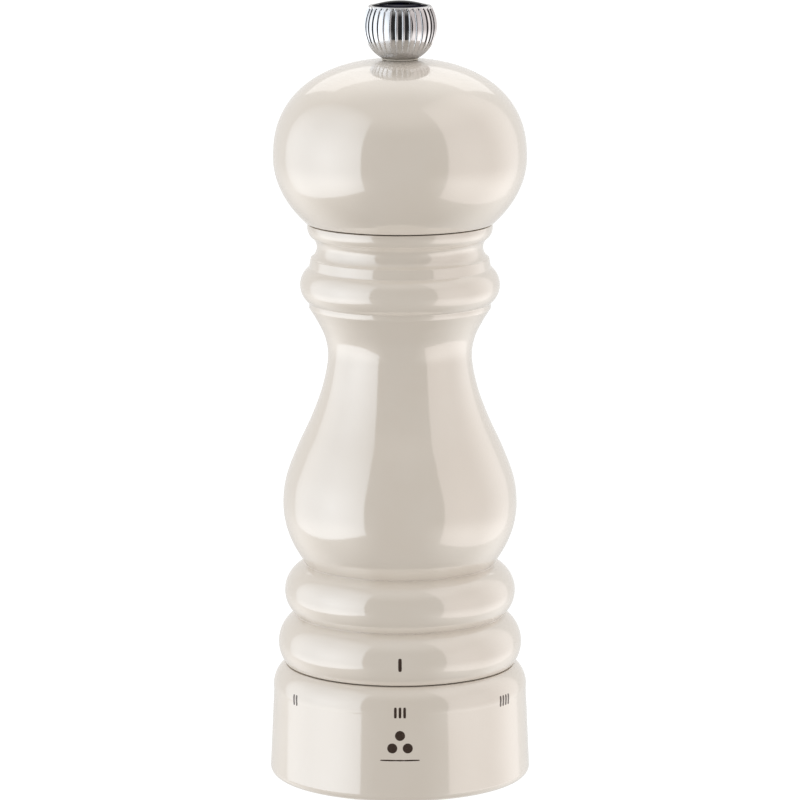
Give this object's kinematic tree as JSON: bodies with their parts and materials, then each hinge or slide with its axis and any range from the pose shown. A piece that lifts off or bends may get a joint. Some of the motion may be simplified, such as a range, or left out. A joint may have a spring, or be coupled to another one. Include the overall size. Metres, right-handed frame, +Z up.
{
  "type": "pepper mill",
  "caption": "Turned wooden pepper mill in glossy ivory lacquer, with a ribbed chrome top knob, a head that turns to grind and a stepped grind-size ring in its foot.",
  "frame": {"origin": "centre of the mill's foot, on the surface it stands on", "axes": "+Z up the mill's axis, from foot to knob; -Y towards the index mark on the front"},
  "size_m": [0.0604, 0.0604, 0.18],
  "materials": {
    "ivory_lacquer": "high-gloss ivory lacquer over turned beech",
    "chrome": "mirror chrome plating",
    "dark_steel": "polished dark steel",
    "steel": "bright zinc-plated steel",
    "burr_steel": "case-hardened steel, oiled",
    "brass": "machined brass",
    "black_plastic": "moulded black acetal",
    "white_plastic": "moulded off-white acetal",
    "printed_ink": "dark brown printed marks"
  },
  "bodies": {
    "mill_body": {"body": "ivory_lacquer", "slip_washer": "white_plastic", "mechanism_housing": "black_plastic", "stator": "burr_steel", "bridge": "steel", "bridge_bush": "brass", "mechanism_screw_1": "steel", "mechanism_screw_2": "steel", "mechanism_screw_3": "steel", "retaining_circlip": "steel", "click_spring": "steel", "click_spring_rivet": "brass"},
    "grind_ring": {"grind_ring": "ivory_lacquer", "ring_insert": "black_plastic"},
    "adjuster": {"adjuster": "black_plastic", "thrust_washer": "brass"},
    "drive_shaft": {"drive_shaft": "steel", "shaft_clip": "burr_steel", "spring_washer": "steel", "rotor_spring": "steel"},
    "rotor": {"rotor": "burr_steel"},
    "head": {"head": "ivory_lacquer", "drive_plate": "steel", "drive_plate_screw_1": "steel", "drive_plate_screw_2": "steel"},
    "knob_washer": {"knob_washer": "white_plastic"},
    "knob": {"knob": "chrome", "knob_medallion": "dark_steel", "knob_thread_insert": "brass"}
  },
  "joints": [
    {"name": "head_turn", "type": "hinge", "parent": "mill_body", "child": "drive_shaft", "pos_m": [0, 0, 0.03], "axis": [0, 0, 1], "continuous": true},
    {"name": "head_lift", "type": "slide", "parent": "drive_shaft", "child": "head", "axis": [0, 0, 1], "range_m": [0, 0.075]},
    {"name": "knob_rise", "type": "slide", "parent": "head", "child": "knob_washer", "axis": [0, 0, 1], "range_m": [0, 0.0097]},
    {"name": "knob_unscrew", "type": "hinge", "parent": "knob_washer", "child": "knob", "pos_m": [0, 0, 0.167], "axis": [0, 0, 1], "range_deg": [0, 4320]},
    {"name": "grind_select", "type": "hinge", "parent": "mill_body", "child": "grind_ring", "pos_m": [0, 0, 0.013], "axis": [0, 0, 1], "range_deg": [-165, 110], "deforming": ["click_spring"]},
    {"name": "adjuster_lift", "type": "slide", "parent": "mill_body", "child": "adjuster", "axis": [0, 0, 1], "range_m": [-0.00091, 0.00061]},
    {"name": "rotor_lift", "type": "slide", "parent": "drive_shaft", "child": "rotor", "axis": [0, 0, 1], "range_m": [-0.00091, 0.00061], "deforming": ["rotor_spring"]}
  ],
  "couplings": [
    {"joint": "knob_rise", "follows": "knob_unscrew", "m_per_rad": 0.00012732},
    {"joint": "adjuster_lift", "follows": "grind_select", "m_per_rad": 0.00031252},
    {"joint": "rotor_lift", "follows": "grind_select", "m_per_rad": 0.00031252}
  ]
}
